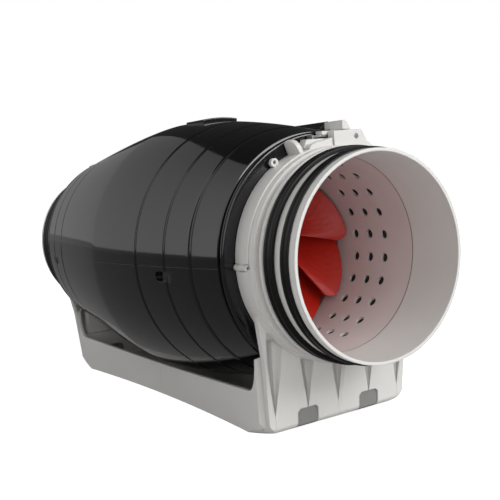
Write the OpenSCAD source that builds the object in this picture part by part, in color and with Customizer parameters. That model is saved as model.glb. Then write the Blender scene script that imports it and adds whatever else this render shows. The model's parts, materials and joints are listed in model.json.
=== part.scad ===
// Inline duct fan: a silenced mixed-flow fan for a 125 mm round duct.
// The duct axis runs along Y, the inlet mouth faces -Y, +Z is up, and the origin
// is the middle of the base's underside. A station t is a distance along the
// duct axis, counted from the inlet rim.

/* [Duct spigots] */
// Distance between the two spigot rims
total_len = 400; // [380:5:440]
// Outside diameter of a spigot
spigot_d = 123; // [117:1:127]
// Wall of a spigot
spigot_wall = 2; // [1.6:0.1:2.4]
// Length of a spigot's tube
spigot_len = 37.5; // [36:0.5:42]
// Plain land between the rim and the first seal
seal_land = 5.4; // [4:0.2:7]
// Width of a seal
seal_w = 7.6; // [6:0.2:8]
// Plain stretch between the two seals
seal_gap = 6; // [4:0.5:6.5]
// Depth of a seal's groove
seal_groove = 0.9; // [0.5:0.1:1.2]
// Height of the outer seal's lip above the spigot
outer_lip = 1.2; // [0.6:0.1:2]
// Height of the inner seal's lip above the spigot
inner_lip = 2.8; // [1.5:0.1:3.5]
// Thickness of the gasket between a spigot and the body
gasket_t = 2; // [1:0.25:3]

/* [Clamp rings] */
// Width of a clamp band along the axis
band_w = 12.8; // [12:0.2:15]
// Thickness of a clamp band
band_t = 2.4; // [2:0.1:3]
// Running slot between a flange and its clamp band
slot_gap = 0.4; // [0.3:0.1:1.2]
// Half of the gap between the two ends at the top
end_gap = 0.65; // [0.5:0.05:1]
// Radius of a latch pin
pin_r = 1.5; // [1.2:0.1:1.8]
// Radius of a hinge pin
hinge_pin_r = 0.9; // [0.8:0.1:1.2]
// Radius of a hinge eye
eye_r = 1.9; // [1.8:0.1:2.2]

/* [Body] */
// Radial step from the clamp band to the body's rim
rim_step = 8.2; // [6:0.2:10]
// Extra radius of the belly over the rim
bulge = 18.5; // [14:0.5:22]
// Exponent of the front taper
front_taper = 1.7; // [1.5:0.1:2.2]
// Exponent of the rear taper
rear_taper = 1.25; // [1.2:0.05:2]
// Wall of the body shells
shell_wall = 3; // [2.5:0.1:3.5]
// Wall of the shell's necks
neck_wall = 1.8; // [1.5:0.1:2.4]
// Width of a styling groove
groove_w = 1.8; // [1:0.2:3]
// Depth of a styling groove
groove_depth = 0.8; // [0.4:0.1:1.2]
// Number of holes in each ring of a liner
liner_holes = 24; // [16:2:28]
// Diameter of a liner hole
liner_hole_d = 6; // [3:0.5:7]
// Wall of a perforated liner
liner_wall = 1.7; // [1.4:0.1:2]

/* [Base] */
// Clearance between the belly and the underside of the base
ground_gap = 12.5; // [12:0.5:20]
// Half width of the base at its ends
base_half_w = 55.5; // [52:0.5:60]
// How much narrower each side is at the middle
base_waist = 6.5; // [0:0.5:7]
// Thickness of the base's floor
floor_t = 4; // [3.5:0.25:5]
// Thickness of the base's side walls
base_wall = 2.6; // [2.2:0.1:3.2]
// Height of the side walls at the middle
skirt_h = 23; // [18:1:23]
// Extra height of the side walls at their ends
skirt_rise = 4; // [0:0.5:5]
// Thickness of the end plates
plate_t = 3.6; // [3:0.2:4.4]
// Number of flutes on an end plate
flute_count = 5; // [3:2:5]
// Distance between flutes
flute_pitch = 24; // [20:1:24]
// Width of a foot pad
pad_w = 15.4; // [10:0.2:18]
// Height of a foot pad
pad_h = 14; // [10:0.5:16]
// Radius of a fixing hole
fix_hole_r = 2.75; // [2:0.25:3.25]
// Fixing hole spacing across the base
fix_x = 70; // [50:2:76]
// Fixing hole spacing along the base
fix_y = 250; // [210:5:260]

/* [Fan] */
// Number of blades
blade_count = 8; // [6:1:9]
// Thickness of a blade along the axis
blade_t = 2; // [1.4:0.2:2.6]
// Clearance between a blade's tip and the casing
tip_gap = 2; // [1.2:0.1:3]
// Angle that a blade wraps round the hub
blade_wrap = 75; // [60:1:90]
// Radius of the impeller hub at its back
hub_back_r = 43; // [38:1:43.5]
// Inside radius of the duct round the motor
annulus_r = 70; // [66:0.5:71]
// Wall of the fan casings
casing_wall = 2.5; // [2:0.1:2.8]
// Outside radius of the motor hub
motor_hub_r = 44; // [43:0.5:46]
// Number of guide vanes
vane_count = 9; // [5:2:11]
// Radius of the motor shaft
shaft_r = 4; // [3:0.25:5]
// Outside radius of a ball bearing
bearing_r = 11; // [9:0.5:12]

/* [Terminal box] */
// Angle of the box above the horizontal
terminal_angle = 30; // [20:1:35]
// Width of the box
terminal_w = 60; // [56:1:66]
// Length of the box along the axis
terminal_len = 90; // [84:1:100]
// Wall of the box
terminal_wall = 2.5; // [2:0.1:3]
// Radius of the gland's cable hole
gland_hole_r = 3.5; // [2.5:0.25:4]

/* [Hidden] */
$fn = 96;

light_grey = [0.78, 0.77, 0.75];
pad_grey = [0.5, 0.5, 0.49];
gloss_black = [0.06, 0.06, 0.065];
rubber_black = [0.1, 0.1, 0.1];
liner_grey = [0.7, 0.66, 0.65];
fan_red = [0.75, 0.12, 0.1];
steel = [0.62, 0.62, 0.64];
copper = [0.72, 0.4, 0.2];
wool = [0.85, 0.8, 0.6];

touch = 0.02;        // clearance between fixed round pieces
snug = 0.1;          // clearance between hand-fitted pieces
air = 0.3;           // clearance between pieces that only lie near each other
face_gap = 0.4;      // clearance between a clamp ring and the body's end face
lining_min = 6;      // least thickness of the acoustic wool over the casing's lugs
barrel_steps = 28;   // straight pieces in the barrel's curve
cut = 1;             // overrun of a cutting shape
inset = 0.2;         // step between the band's faces and what is moulded on it

// Radii
spigot_r = spigot_d / 2;
bore_r = spigot_r - spigot_wall;
neck_r0 = bore_r + liner_wall + snug;
neck_r = neck_r0 + neck_wall;
band_r0 = neck_r + air;
band_r = band_r0 + band_t;
band_mid_r = band_r0 + band_t / 2;
rim_r = band_r + rim_step;
lug_h = 6;
lug_r = annulus_r + casing_wall + lug_h;
belly_r = max(rim_r + bulge, lug_r + lining_min + shell_wall);
belly_rise = belly_r - rim_r;
axis_h = belly_r + ground_gap;

// Stations along the axis
mid_t = total_len / 2;
neck_start = spigot_len + gasket_t;
flange_end = neck_start - snug;
lip_end = neck_start - air;
lip_wall = 1.3;
band_start = flange_end + slot_gap;
band_end = band_start + band_w;
plate_end = band_end - inset;
plate_start = plate_end - plate_t;
body_start = band_end + face_gap;
body_end = total_len - body_start;
inner_start = body_start + shell_wall;
inner_end = body_end - shell_wall;
body_half = mid_t - body_start;
rim_edge = 2;

// Spigot details
outer_seal_t = seal_land;
inner_seal_t = seal_land + seal_w + seal_gap;
rib_t = inner_seal_t + seal_w + 0.6;
rib_w = 2.6;
rib_h = 3;
flange_w = 4.6;
flange_t = flange_end - flange_w;

// Clamp hinges and latches, measured from the duct axis
eye_gap = 0.3;
eye_x = band_r0 + eye_r + 0.05;
eye_web = eye_r - 0.4;
eye_from = band_start + 3.6;
eye_to = band_end - 3.6;
pin_fit = 0.05;
pin_recess = 1;
split_x = 2.2;
split_angle = asin(split_x / band_mid_r);
left_end_x = split_x - end_gap;
right_end_x = split_x + end_gap;
step_top = band_r + 4.2;
step_low = band_r + 1;
step_len = 16;
cheek_top = band_r + 8.2;
cheek_len = 24;
arc_setback = 0.5;
cheek_end = band_start + 6.2;
latch_x = 20;
latch_z = band_r + 4.2;
latch_from = cheek_end + air;
latch_to = band_end - air;
latch_bottom = step_top + 2;
lever_top = cheek_top + air + 0.1;
lever_end_x = -1.3;
grip_top = band_r + 14.2;
grip_x = 10;
grip_w = 2.7;
grip_foot = 6;
grip_from = band_start + 0.5;
grip_to = body_start + 4.7;
grip_over = barrel_r(grip_to) + 0.2;
hook_t = 1.2;
claw_x = -8.5;
claw_w = 1.5;
claw_drop = 1.2;
claw_room = 2;

// Finger tab and eyelet on the left clamp
tab_angle = 109.2;
tab_w = 3;
tab_h = 8.4;
tab_round = 6.7;
eyelet_angle = 121.5;
eyelet_r = 2.6;
eyelet_hole_r = 1.1;
eyelet_h = 2;

// Styling grooves and shell screws
grooves = [81, 107, 139, total_len - 107, total_len - 81];
boss_stations = [grooves[1], grooves[4]];
dimple_w = 22;
dimple_h = 6.5;
dimple_z = 6.5;
boss_r = 5.5;
boss_inset = 8;
shell_screw_r = 1.6;
shell_head_r = 3.2;
shell_head_h = 2.4;
shell_head_z = 10;
top_pad_from = 165;
top_pad_len = 25;
top_pad_w = 28;
top_pad_h = 1.3;
liner_rows = [66, 80.5, 95];
liner_phase = 4.5;

// Fan and motor
throat_t = 116;
casing_len = 34;
stator_t = throat_t + casing_len;
stator_len = 85;
cone_t = stator_t + stator_len;
liner_len = 110;
cone_end = total_len - liner_len;
disc_t = 3;
lug_screws = 6;
lug_screw_r = 1.5;
blade_start = throat_t - 14;
hub_nose_t = blade_start;
hub_front_t = blade_start + 6;
hub_back_t = stator_t;
hub_taper = 0.62;
impeller_phase = -13.4;
blade_lead = 12.5;
blade_root = 1.5;
tip_round = 6;
tip_sweep = 4;
tip_share = 0.1;
nut_r = 7;
blade_steps = 13;
motor_hub_t = stator_t + 2;
motor_hub_wall = 2.5;
motor_plate_t = 3;
shield_r = motor_hub_r - motor_hub_wall - air;
shield_w = 7;
front_shield_t = motor_hub_t + motor_plate_t;
core_t = front_shield_t + shield_w + 10;
core_len = 40;
core_r = shield_r - air;
core_bore = 22.4;
rotor_gap = 0.4;
winding_len = 9;
rear_shield_t = core_t + core_len + 10;
bolt_r = 1.5;
bolt_pcr = core_r - 2.1;
winding_r = bolt_pcr - bolt_r - 0.4;
shaft_end_t = rear_shield_t + shield_w + 4;
nut_len = 6;
vane_len = 60;
vane_t = 2;
vane_twist = 14;
tail_tip_r = 10;

// Terminal box, in a frame whose Z is the box's outward direction
terminal_y0 = -terminal_len / 2;
box_floor = belly_r + 3;
box_bottom = belly_r - 8;
box_post_r = 4;
box_screw_r = 1.5;
box_post_inset = 6;
lead_y = core_t + core_len + 5 - mid_t;
lead_r = 2.5;
conduit_r0 = lead_r + 0.4;
conduit_r = conduit_r0 + 1.6;
base_screw_y = [-terminal_len / 2 + 15, terminal_len / 2 - 11];
base_screw_head_r = 2.8;
base_screw_len = 7;
block_ways = 5;
block_pitch = 8;
block_w = 14;
block_h = 13;
block_inset = 9;
block_hole_r = 2;
block_hole_depth = 7;
capacitor_r = 8.5;
capacitor_len = 42;
capacitor_inset = 14;
gland_r = 6;
gland_flange_r = 8;
gland_nut_r = 8.5;
gland_z = box_floor + gland_nut_r + 0.5;
box_rim = gland_z + gland_flange_r + 1;
box_top = box_rim + 7;
gland_len = 12;

// Base
lean = 5.5;
lean_t = plate_end;
lean_h = axis_h - rim_r - 0.5;
base_front = plate_start + lean_h * tan(lean) + 0.2 - mid_t;
block_back = 6.5;
corner_x = 6;
corner_y = 6;
web_h = 21;
web_len = 10.5;
web_taper = 4.9;
web_top = 2.5;
arc_steps = 6;
under_back = 10.3;
under_up = 7;
corner_r = 14;
corner_fade = 20;
side_points = 6;
flute_depth = 3;
flute_w = 10.5;
flute_low = 5;
flute_pad_room = 5;
pad_x = flute_pitch;
pad_depth = 8;
pad_recess = 1;
pad_corner = 2;
plate_angle = 20;
low_edge = 47;
joint_boss_r = 4;
joint_w = 60;
joint_len = 50;
joint_t = 2;
joint_screw_x = 20;
joint_screw_y = 16;
joint_boss_h = 4;
joint_screw_r = 1.5;

// Radius of the barrel at a station
function barrel_r(t) =
    let (s = (t - mid_t) / body_half)
    belly_r - belly_rise * pow(abs(s), s < 0 ? front_taper : rear_taper);

// Outline points of the barrel between two stations, set in by an offset
function barrel_points(t0, t1, depth, steps) =
    [for (i = [0 : steps]) let (t = t0 + (t1 - t0) * i / steps) [barrel_r(t) - depth, t]];

function reversed(list) = [for (i = [len(list) - 1 : -1 : 0]) list[i]];

function mix(a, b, k) = a + (b - a) * k;

// Point in the middle of a clamp band's thickness, above the axis at a distance x
function on_band(x) = [x, sqrt(band_mid_r * band_mid_r - x * x)];

// Side of the base at a distance y from the middle
function side_x(y, w) = w - base_waist * (1 - pow(y / (base_front + corner_y), 2));

// Places children on the duct axis, with their Z along +Y from the inlet rim
module on_axis() {
    translate([0, -mid_t, axis_h]) rotate([-90, 0, 0]) children();
}

// Turns children about the duct axis, seen from the inlet, anticlockwise
module turned(a) {
    rotate([0, 0, -a]) children();
}

module at_rear() {
    mirror([0, 1, 0]) children();
}

module ring(r0, r1, t0, t1) {
    translate([0, 0, t0]) difference() {
        cylinder(r = r1, h = t1 - t0);
        translate([0, 0, -cut]) cylinder(r = r0, h = t1 - t0 + 2 * cut);
    }
}

// A piece of a ring from angle a0 to a1, anticlockwise as seen from the inlet
module arc_ring(r0, r1, t0, t1, a0, a1) {
    turned(a1) rotate_extrude(angle = a1 - a0)
        polygon([[r0, t0], [r1, t0], [r1, t1], [r0, t1]]);
}

// A plate along the axis whose outline is given as [x, height over the axis]
module axial_plate(points, t0, t1) {
    translate([0, 0, t0]) linear_extrude(t1 - t0)
        polygon([for (p = points) [p[0], -p[1]]]);
}

module axial_rod(x, z, r, t0, t1) {
    translate([x, -z, t0]) cylinder(r = r, h = t1 - t0, $fn = 48);
}

// ---------------------------------------------------------------- supports

module base_plan(depth) {
    w = base_half_w - depth;
    y1 = base_front + corner_y;
    ys = [for (i = [0 : side_points]) y1 * (1 - i / side_points)];
    right = [for (y = ys) [side_x(y, w), y]];
    left = [for (p = reversed(right)) [-p[0], p[1]]];
    polygon(concat([[-(w - corner_x), base_front], [w - corner_x, base_front]], right, left));
}

// Leans children back about a line under the clamp ring, as the end plates lean
module leaned() {
    translate([0, lean_t - mid_t, lean_h]) rotate([lean, 0, 0])
        translate([0, mid_t - lean_t, -lean_h]) children();
}

// Quarter of an ellipse from angle a0 to a1, as points
function ellipse(cx, cy, rx, ry, a0, a1) =
    [for (i = [0 : arc_steps]) let (a = mix(a0, a1, i / arc_steps)) [cx + rx * cos(a), cy + ry * sin(a)]];

// What the rounded lower front edge takes away
module under_roll() {
    y0 = base_front - corner_y;
    rotate([90, 0, 90]) linear_extrude(3 * base_half_w, center = true)
        polygon(concat([[y0, -cut], [base_front + under_back, -cut]],
                       ellipse(base_front + under_back, under_up, under_back + 1.2, under_up, 270, 180),
                       [[y0, under_up]]));
}

// What the rounded lower corners of the front take away; the rounding fades out towards the middle
module corner_round() {
    tilt = atan(corner_r * (sqrt(2) - 1) / corner_fade);
    w = base_half_w - 1;
    for (side = [0, 1]) mirror([side, 0, 0])
        translate([w - corner_r, base_front - 1, corner_r + 2]) rotate([-90, 0, 0])
            rotate([0, 0, 45]) rotate([0, tilt, 0]) rotate([0, 0, -45])
                translate([0, 0, -corner_fade]) linear_extrude(3 * corner_fade) difference() {
                    square([2 * corner_r, 2 * corner_r]);
                    circle(corner_r);
                }
}

// Opening above the side walls, with a shallow arch as its lower edge and a rounded end
module skirt_opening() {
    y0 = base_front + corner_y;
    y2 = y0 + web_len;
    low = skirt_h + skirt_rise;
    arch = [for (i = [0 : side_points]) let (y = y2 * i / side_points)
            [y, skirt_h + skirt_rise * pow(y / y2, 2)]];
    rotate([90, 0, 90]) linear_extrude(2 * base_half_w + 2, center = true)
        polygon(concat(arch, ellipse(y2, low + web_h, web_len, web_h, 270, 180),
                       [[y0 - web_taper, low + web_h + web_top], [y0 - web_taper, axis_h],
                        [cut, axis_h], [cut, skirt_h]]));
}

module base_tray() {
    low = skirt_h + skirt_rise;
    difference() {
        union() {
            linear_extrude(low) base_plan(0);
            linear_extrude(low + web_h + web_top) difference() {
                base_plan(0);
                base_plan(base_wall);
            }
        }
        translate([0, 0, floor_t]) linear_extrude(axis_h) intersection() {
            base_plan(base_wall);
            translate([-base_half_w, base_front + block_back])
                square([2 * base_half_w, -base_front]);
        }
        skirt_opening();
    }
}

// Pointed vertical flutes in the front of an end plate
module flutes() {
    half = flute_w / 2;
    r2 = (half * half + flute_depth * flute_depth) / (2 * flute_depth);
    for (i = [0 : flute_count - 1]) {
        x = (i - (flute_count - 1) / 2) * flute_pitch;
        foot = abs(abs(x) - pad_x) < pad_w / 2 ? pad_h + flute_pad_room : flute_low;
        top = axis_h - sqrt(pow(band_r, 2) - x * x) + 1;
        translate([x, plate_start - mid_t - (r2 - flute_depth), foot])
            cylinder(r1 = r2 - flute_depth - 0.05, r2 = r2, h = top - foot, $fn = 64);
    }
}

module pad_shape(clear) {
    w = pad_w / 2 + clear;
    h = pad_h + clear;
    polygon([[-w, -3 * cut], [w, -3 * cut], [w, h - pad_corner], [w - pad_corner, h],
             [-w + pad_corner, h], [-w, h - pad_corner]]);
}

module pad_blocks(clear, from, depth) {
    leaned() for (side = [-1, 1])
        translate([side * pad_x, plate_start - mid_t + from, 0]) rotate([90, 0, 0])
            translate([0, 0, -depth]) linear_extrude(depth) pad_shape(clear);
}

module plate_outline() {
    foot_x = base_half_w - corner_x + 2.5;
    polygon([[-band_mid_r * cos(plate_angle), -band_mid_r * sin(plate_angle)],
             [band_mid_r * cos(plate_angle), -band_mid_r * sin(plate_angle)],
             [base_half_w - 0.5, -axis_h + low_edge], [foot_x, -axis_h - 2 * cut],
             [-foot_x, -axis_h - 2 * cut], [-base_half_w + 0.5, -axis_h + low_edge]]);
}

module end_plate() {
    leaned() difference() {
        on_axis() translate([0, 0, plate_start]) linear_extrude(plate_t)
            mirror([0, 1]) plate_outline();
        flutes();
    }
}

module hinge_ears() {
    for (side = [-1, 1])
        for (span = [[band_start, eye_from - eye_gap], [eye_to + eye_gap, band_end - inset]]) {
            axial_rod(side * eye_x, 0, eye_r, span[0], span[1]);
            x0 = side > 0 ? band_r0 + air : -eye_x;
            x1 = side > 0 ? eye_x : -band_r0 - air;
            axial_plate([[x0, -eye_web], [x1, -eye_web], [x1, -face_gap], [x0, -face_gap]],
                        span[0], span[1]);
        }
}

module spigot() {
    ring(bore_r, spigot_r, 0, spigot_len);
    ring(bore_r, bore_r + lip_wall, spigot_len - cut, lip_end);
    ring(bore_r + spigot_wall / 2, spigot_r + rib_h, rib_t, rib_t + rib_w);
    ring(bore_r + spigot_wall / 2, band_r - 0.8, flange_t, spigot_len);
    ring(neck_r + snug, band_r - 0.8, spigot_len - cut, flange_end);
}

// Lower half of the clamp ring, which carries the body's neck
module saddle() {
    difference() {
        turned(-arc_setback) rotate_extrude(angle = 180 - 2 * arc_setback)
            polygon([[band_mid_r - 0.4, flange_end - cut], [band_r, flange_end - cut], [band_r, band_end],
                     [band_r0, band_end], [band_r0, flange_end], [band_mid_r - 0.4, flange_end]]);
        for (side = [-1, 1])
            axial_rod(side * eye_x, 0, eye_r + eye_gap, eye_from - eye_gap, eye_to + eye_gap);
    }
}

module joint_points() {
    for (x = [-joint_screw_x, joint_screw_x]) translate([x, -joint_screw_y, 0]) children();
}

module support() {
    difference() {
        union() {
            on_axis() {
                spigot();
                saddle();
                hinge_ears();
            }
            difference() {
                union() {
                    end_plate();
                    base_tray();
                }
                under_roll();
                corner_round();
                on_axis() cylinder(r = band_r0 + cut, h = body_start);
                translate([0, 0, -axis_h]) linear_extrude(axis_h) square(2 * total_len, center = true);
            }
            joint_points() cylinder(r = joint_boss_r, h = floor_t + joint_boss_h, $fn = 48);
        }
        on_axis() {
            for (t = [outer_seal_t, inner_seal_t])
                ring(spigot_r - seal_groove, spigot_r + cut, t, t + seal_w);
            for (side = [-1, 1])
                axial_rod(side * eye_x, 0, hinge_pin_r + touch, band_start - cut, body_start);
        }
        pad_blocks(0.05, -cut, pad_depth + cut);
        for (x = [-fix_x / 2, fix_x / 2])
            translate([x, -fix_y / 2, -cut]) cylinder(r = fix_hole_r, h = floor_t + 2 * cut);
        translate([-joint_w / 2 - snug, -joint_len / 2 - snug, -cut])
            cube([joint_w + 2 * snug, joint_len, joint_t + cut]);
        joint_points() cylinder(r = joint_screw_r + touch, h = floor_t + joint_boss_h + cut);
    }
}

module support_front() {
    color(light_grey) support();
}

module support_rear() {
    color(light_grey) at_rear() support();
}

// Plate let into the underside, which holds the two supports together
module joining_plate() {
    color(light_grey) difference() {
        translate([-joint_w / 2, -joint_len / 2, 0]) cube([joint_w, joint_len, joint_t]);
        for (side = [0, 1]) mirror([0, side, 0]) joint_points() {
            translate([0, 0, -cut]) cylinder(r = joint_screw_r + touch, h = joint_t + 2 * cut);
            translate([0, 0, -touch]) cylinder(r1 = 3 + touch, r2 = joint_screw_r + touch, h = 1.5);
        }
    }
}

module joining_screws() {
    color(steel) for (side = [0, 1]) mirror([0, side, 0]) joint_points() {
        cylinder(r = joint_screw_r, h = floor_t + joint_boss_h - 1, $fn = 48);
        cylinder(r1 = 3 - 2 * touch, r2 = joint_screw_r, h = 1.4, $fn = 48);
    }
}

module foot_pads_front() {
    difference() {
        pad_blocks(0, pad_recess, pad_depth - pad_recess);
        under_roll();
        translate([0, 0, -axis_h]) linear_extrude(axis_h) square(2 * total_len, center = true);
    }
}

module foot_pads() {
    color(pad_grey) {
        foot_pads_front();
        at_rear() foot_pads_front();
    }
}

// ------------------------------------------------------------------- seals

module lip_seal(t, lip) {
    root = spigot_r - seal_groove + touch;
    half = seal_w / 2;
    rise = spigot_r + lip;
    on_axis() translate([0, 0, t + touch]) rotate_extrude()
        polygon([[root, 0], [spigot_r + 0.3, 0], [rise - 0.6, half - 1.2], [rise - 0.2, half - 0.6],
                 [spigot_r + 0.5, half - 0.4], [rise - 0.2, seal_w - 1.2],
                 [rise, seal_w - 0.5], [root, seal_w - 2 * touch]]);
}

module seal_front_outer() {
    color(rubber_black) lip_seal(outer_seal_t, outer_lip);
}

module seal_front_inner() {
    color(rubber_black) lip_seal(inner_seal_t, inner_lip);
}

module seal_rear_outer() {
    color(rubber_black) at_rear() lip_seal(outer_seal_t, outer_lip);
}

module seal_rear_inner() {
    color(rubber_black) at_rear() lip_seal(inner_seal_t, inner_lip);
}

module gasket() {
    on_axis() ring(bore_r + lip_wall + snug, neck_r, spigot_len, neck_start);
}

module gasket_front() {
    color(rubber_black) gasket();
}

module gasket_rear() {
    color(rubber_black) at_rear() gasket();
}

// ------------------------------------------------------------ clamps, latch

module hinge_eye(side) {
    x0 = side > 0 ? band_r0 + air : -eye_x;
    x1 = side > 0 ? eye_x : -band_r0 - air;
    axial_rod(side * eye_x, 0, eye_r, eye_from, eye_to);
    axial_plate([[x0, face_gap], [x1, face_gap], [x1, eye_web], [x0, eye_web]], eye_from, eye_to);
}

// A quarter band from angle a0 to a1, cut clear of the support's ears at the hinge
module quarter_band(side, a0, a1) {
    difference() {
        arc_ring(band_r0, band_r, band_start, band_end, a0, a1);
        for (span = [[band_start - cut, eye_from], [eye_to, band_end + cut]])
            axial_rod(side * eye_x, 0, eye_r + eye_gap, span[0], span[1]);
    }
}

module eye_bore(side) {
    axial_rod(side * eye_x, 0, hinge_pin_r + pin_fit, band_start, band_end);
}

// Fin that a finger pushes, with a rounded front corner
module finger_tab() {
    top = band_r + tab_h;
    back = band_end - inset;
    turned(tab_angle) rotate([90, 0, 0]) linear_extrude(tab_w, center = true)
        polygon(concat([[band_mid_r, grip_from], [band_r, grip_from]],
                       ellipse(top - tab_round, grip_from + tab_round, tab_round, tab_round, 270, 360),
                       [[top, back - 1.5], [top - 1.5, back], [band_mid_r, back]]));
}

// Quarter clamp on the left, with the raised end that the hook's claw grips
module clamp_left() {
    slot_x0 = claw_x - claw_room;
    slot_x1 = claw_x + claw_w + claw_room;
    slot_z = step_top - claw_drop - 0.6;
    on_axis() difference() {
        union() {
            quarter_band(-1, 90 - split_angle + arc_setback, 180 - arc_setback);
            axial_plate([on_band(-step_len), on_band(left_end_x), [left_end_x, step_top],
                         [-step_len + 2.5, step_low], [-step_len, band_r - 1]],
                        band_start + inset, cheek_end + cut);
            axial_plate([on_band(-step_len), on_band(left_end_x), [left_end_x, step_top],
                         [-step_len + 3, step_top], [-step_len, band_r - 1]],
                        cheek_end, band_end - inset);
            hinge_eye(-1);
            finger_tab();
            turned(eyelet_angle) axial_rod(band_r + eyelet_h, 0, eyelet_r, band_end - 4, band_end - 1.5);
        }
        eye_bore(-1);
        turned(eyelet_angle) axial_rod(band_r + eyelet_h + 0.2, 0, eyelet_hole_r, band_start, band_end);
        axial_plate([[slot_x0, slot_z], [slot_x1, slot_z], [slot_x1, step_top + cut],
                     [slot_x0, step_top + cut]], cheek_end + air, band_end + cut);
    }
}

// Quarter clamp on the right, with the block that carries the latch
module clamp_right() {
    on_axis() difference() {
        union() {
            quarter_band(1, arc_setback, 90 - split_angle - arc_setback);
            axial_plate([on_band(right_end_x), on_band(cheek_len / 2), on_band(cheek_len),
                         on_band(cheek_len + 8), on_band(cheek_len + 17), [cheek_len + 17, band_r - 11.3],
                         [cheek_len + 12, band_r - 4.8], [cheek_len + 4, cheek_top - 7.1],
                         [cheek_len, cheek_top], [right_end_x, cheek_top]],
                        band_start + inset, cheek_end);
            hinge_eye(1);
        }
        eye_bore(1);
        axial_rod(latch_x, latch_z, pin_r + touch, band_start - cut, cheek_end + cut);
    }
}

module clamp_front_left() {
    color(light_grey) clamp_left();
}

module clamp_front_right() {
    color(light_grey) clamp_right();
}

module clamp_rear_left() {
    color(light_grey) at_rear() clamp_left();
}

module clamp_rear_right() {
    color(light_grey) at_rear() clamp_right();
}

module hinge_pins() {
    on_axis() for (side = [-1, 1])
        axial_rod(side * eye_x, 0, hinge_pin_r, band_start + pin_recess, band_end);
}

module clamp_hinge_pins() {
    color(steel) {
        hinge_pins();
        at_rear() hinge_pins();
    }
}

// Lever of the latch, which turns on the pin in the right clamp's block, and its tall finger grip
module latch_lever() {
    on_axis() difference() {
        union() {
            axial_plate([[lever_end_x, latch_bottom], [lever_end_x, lever_top], [latch_x + 2.5, lever_top],
                         [latch_x + 3.5, latch_z], [latch_x + 2.5, latch_z - 3],
                         [latch_x - 2.5, latch_z - 3], [15.5, latch_bottom]], latch_from, latch_to);
            axial_plate([[grip_x, cheek_top + air], [grip_x, grip_top], [grip_x + grip_w, grip_top],
                         [grip_x + grip_foot, cheek_top + air]], grip_from, latch_to);
            axial_plate([[grip_x, grip_over], [grip_x, grip_top], [grip_x + grip_w, grip_top],
                         [grip_x + grip_foot - 1, grip_over]], latch_to - cut, grip_to);
        }
        axial_rod(latch_x, latch_z, pin_r + pin_fit, latch_from - cut, latch_to + cut);
    }
}

module latch_hook() {
    top = latch_bottom;
    tip = step_top - claw_drop;
    hook_end = grip_x + 2;
    on_axis() axial_plate([[claw_x, tip], [claw_x + claw_w, tip], [claw_x + claw_w, top - hook_t],
                           [hook_end, top - hook_t], [hook_end, top], [claw_x, top]],
                          latch_from + 0.5, latch_to - 0.5);
}

module latch_pin() {
    on_axis() axial_rod(latch_x, latch_z, pin_r, band_start, latch_to);
}

module latch_front() {
    color(light_grey) latch_lever();
}

module latch_rear() {
    color(light_grey) at_rear() latch_lever();
}

module latch_hook_front() {
    color(steel) latch_hook();
}

module latch_hook_rear() {
    color(steel) at_rear() latch_hook();
}

module latch_pin_front() {
    color(steel) latch_pin();
}

module latch_pin_rear() {
    color(steel) at_rear() latch_pin();
}

// -------------------------------------------------------------------- body

module shell_section() {
    steps = barrel_steps;
    last = total_len - neck_start;
    outer = barrel_points(body_start + rim_edge, body_end - rim_edge, 0, steps);
    inner = reversed(barrel_points(inner_start, inner_end, shell_wall, steps));
    polygon(concat([[neck_r0, neck_start], [neck_r, neck_start], [neck_r, body_start],
                    [rim_r - rim_edge, body_start]], outer,
                   [[rim_r - rim_edge, body_end], [neck_r, body_end], [neck_r, last],
                    [neck_r0, last], [neck_r0, inner_end]], inner, [[neck_r0, inner_start]]));
}

module groove_section() {
    for (t = grooves)
        translate([barrel_r(t) - groove_depth, t - groove_w / 2]) square([2 * cut, groove_w]);
}

module barrel_solid(depth) {
    rotate_extrude() polygon(concat([[0, body_start + 1]],
        barrel_points(body_start + 1, body_end - 1, depth, barrel_steps), [[0, body_end - 1]]));
}

// Half of the body shell: side is 1 for the lower half and -1 for the upper one
module shell_half(side) {
    mirror([0, side > 0 ? 0 : 1, 0]) rotate_extrude(angle = 180) difference() {
        shell_section();
        groove_section();
    }
}

// Runs children at the shell's four screw places, with Z pointing up
module at_bosses() {
    for (t = boss_stations)
        for (side = [-1, 1])
            translate([side * (barrel_r(t) - boss_inset), t - mid_t, axis_h]) children();
}

module at_terminal() {
    translate([0, 0, axis_h]) rotate([0, 90 - terminal_angle, 0]) children();
}

module top_pad() {
    translate([-top_pad_w / 2, top_pad_from - mid_t, axis_h + belly_r - shell_wall + 0.3])
        cube([top_pad_w, top_pad_len, shell_wall - 0.3 + top_pad_h]);
}

// Shallow oval recess in the shell's side over each screw
module dimples() {
    end = (dimple_w - dimple_h) / 2;
    at_bosses() translate([0, 0, -dimple_z]) {
        cube([2 * boss_inset + 2 * cut, 2 * end, dimple_h], center = true);
        for (y = [-end, end]) translate([0, y, 0]) rotate([0, 90, 0])
            cylinder(d = dimple_h, h = 2 * boss_inset + 2 * cut, center = true, $fn = 48);
    }
}

module shell_upper() {
    color(gloss_black) difference() {
        union() {
            on_axis() shell_half(-1);
            top_pad();
            at_bosses() cylinder(r = boss_r, h = 14);
        }
        at_bosses() translate([0, 0, -cut]) cylinder(r = shell_screw_r + touch, h = 12 + cut);
        at_terminal() {
            translate([0, lead_y, 0]) cylinder(r = conduit_r + snug, h = belly_r + cut);
            for (y = base_screw_y)
                translate([0, y, belly_r - 10]) cylinder(r = box_screw_r + touch, h = 10 + cut);
        }
    }
}

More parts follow.
